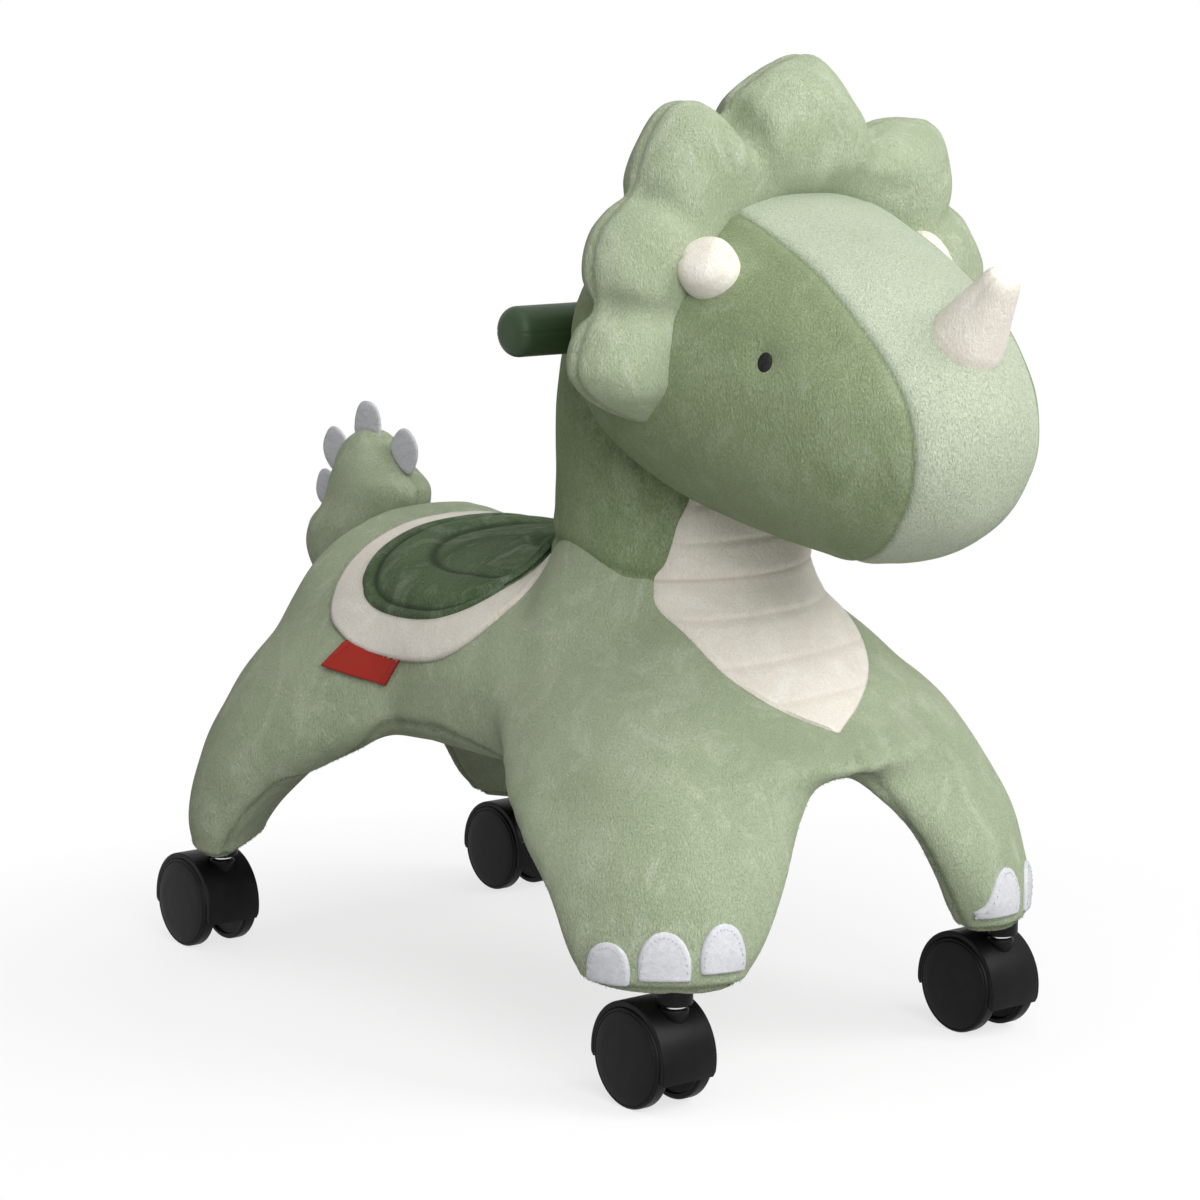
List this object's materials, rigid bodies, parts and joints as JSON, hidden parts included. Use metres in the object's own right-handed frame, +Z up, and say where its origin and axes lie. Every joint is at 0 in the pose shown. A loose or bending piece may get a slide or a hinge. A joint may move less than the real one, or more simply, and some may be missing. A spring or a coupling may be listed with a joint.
{
  "type": "plush ride-on toy",
  "caption": "Stuffed dinosaur ride-on for a toddler: padded saddle, through-neck handlebar and twin-wheel swivel casters under its splayed feet",
  "frame": {"origin": "on the floor, below the middle of the overall length and width", "axes": "+Z up, the animal looks along -Y, its left side is +X"},
  "size_m": [0.2872, 0.5786, 0.505],
  "materials": {
    "sage_plush": "short-pile minky plush, sage green",
    "dark_sage_plush": "short-pile minky plush, darker sage",
    "cream_plush": "cream plush with sewn channels",
    "forest_plush": "dark green quilted plush",
    "grey_felt": "pale grey felt, dashed edge stitching",
    "eye_thread": "black satin stitch",
    "red_tape": "plain woven tape",
    "grip_plastic": "satin dark green plastic",
    "black_plastic": "semi-matt black nylon",
    "bright_steel": "plated steel",
    "painted_steel": "black powder coat",
    "plywood": "plain plywood"
  },
  "bodies": {
    "root": {"front_left_socket": "black_plastic", "front_right_socket": "black_plastic", "rear_left_socket": "black_plastic", "rear_right_socket": "black_plastic", "front_leg_frame": "painted_steel", "rear_leg_frame": "painted_steel", "spine_rail": "painted_steel", "neck_post": "painted_steel", "seat_board": "plywood", "handlebar_tube": "bright_steel", "left_grip": "grip_plastic", "right_grip": "grip_plastic", "front_board_screw": "bright_steel", "rear_board_screw": "bright_steel", "front_post_screw": "bright_steel", "rear_post_screw": "bright_steel", "front_leg_screw": "bright_steel", "rear_leg_screw": "bright_steel", "torso": "sage_plush", "head": "sage_plush", "frill": "sage_plush", "tail": "sage_plush", "front_left_leg": "sage_plush", "front_right_leg": "sage_plush", "rear_left_leg": "sage_plush", "rear_right_leg": "sage_plush", "neck": "dark_sage_plush", "chest_panel": "cream_plush", "saddle_blanket": "cream_plush", "nose_horn": "cream_plush", "left_brow_horn": "cream_plush", "right_brow_horn": "cream_plush", "seat_pad": "forest_plush", "tail_spikes": "grey_felt", "front_left_claws": "grey_felt", "front_right_claws": "grey_felt", "left_eye": "eye_thread", "right_eye": "eye_thread", "side_tag": "red_tape"},
    "front_left_caster": {"front_left_stem": "bright_steel", "front_left_hood": "black_plastic", "front_left_axle": "bright_steel"},
    "front_left_left_wheel": {"front_left_wheel_left": "black_plastic"},
    "front_left_right_wheel": {"front_left_wheel_right": "black_plastic"},
    "front_right_caster": {"front_right_stem": "bright_steel", "front_right_hood": "black_plastic", "front_right_axle": "bright_steel"},
    "front_right_left_wheel": {"front_right_wheel_left": "black_plastic"},
    "front_right_right_wheel": {"front_right_wheel_right": "black_plastic"},
    "rear_left_caster": {"rear_left_stem": "bright_steel", "rear_left_hood": "black_plastic", "rear_left_axle": "bright_steel"},
    "rear_left_left_wheel": {"rear_left_wheel_left": "black_plastic"},
    "rear_left_right_wheel": {"rear_left_wheel_right": "black_plastic"},
    "rear_right_caster": {"rear_right_stem": "bright_steel", "rear_right_hood": "black_plastic", "rear_right_axle": "bright_steel"},
    "rear_right_left_wheel": {"rear_right_wheel_left": "black_plastic"},
    "rear_right_right_wheel": {"rear_right_wheel_right": "black_plastic"}
  },
  "joints": [
    {"name": "front_left_swivel", "type": "hinge", "parent": "root", "child": "front_left_caster", "pos_m": [0.109, -0.17655, 0.056], "axis": [0, 0, 1], "continuous": true},
    {"name": "front_left_left_roll", "type": "hinge", "parent": "front_left_caster", "child": "front_left_left_wheel", "pos_m": [0.109, -0.16055, 0.025], "axis": [1, 0, 0], "continuous": true},
    {"name": "front_left_right_roll", "type": "hinge", "parent": "front_left_caster", "child": "front_left_right_wheel", "pos_m": [0.109, -0.16055, 0.025], "axis": [1, 0, 0], "continuous": true},
    {"name": "front_right_swivel", "type": "hinge", "parent": "root", "child": "front_right_caster", "pos_m": [-0.109, -0.17655, 0.056], "axis": [0, 0, 1], "continuous": true},
    {"name": "front_right_left_roll", "type": "hinge", "parent": "front_right_caster", "child": "front_right_left_wheel", "pos_m": [-0.109, -0.16055, 0.025], "axis": [1, 0, 0], "continuous": true},
    {"name": "front_right_right_roll", "type": "hinge", "parent": "front_right_caster", "child": "front_right_right_wheel", "pos_m": [-0.109, -0.16055, 0.025], "axis": [1, 0, 0], "continuous": true},
    {"name": "rear_left_swivel", "type": "hinge", "parent": "root", "child": "rear_left_caster", "pos_m": [0.109, 0.22345, 0.056], "axis": [0, 0, 1], "continuous": true},
    {"name": "rear_left_left_roll", "type": "hinge", "parent": "rear_left_caster", "child": "rear_left_left_wheel", "pos_m": [0.109, 0.23945, 0.025], "axis": [1, 0, 0], "continuous": true},
    {"name": "rear_left_right_roll", "type": "hinge", "parent": "rear_left_caster", "child": "rear_left_right_wheel", "pos_m": [0.109, 0.23945, 0.025], "axis": [1, 0, 0], "continuous": true},
    {"name": "rear_right_swivel", "type": "hinge", "parent": "root", "child": "rear_right_caster", "pos_m": [-0.109, 0.22345, 0.056], "axis": [0, 0, 1], "continuous": true},
    {"name": "rear_right_left_roll", "type": "hinge", "parent": "rear_right_caster", "child": "rear_right_left_wheel", "pos_m": [-0.109, 0.23945, 0.025], "axis": [1, 0, 0], "continuous": true},
    {"name": "rear_right_right_roll", "type": "hinge", "parent": "rear_right_caster", "child": "rear_right_right_wheel", "pos_m": [-0.109, 0.23945, 0.025], "axis": [1, 0, 0], "continuous": true}
  ]
}
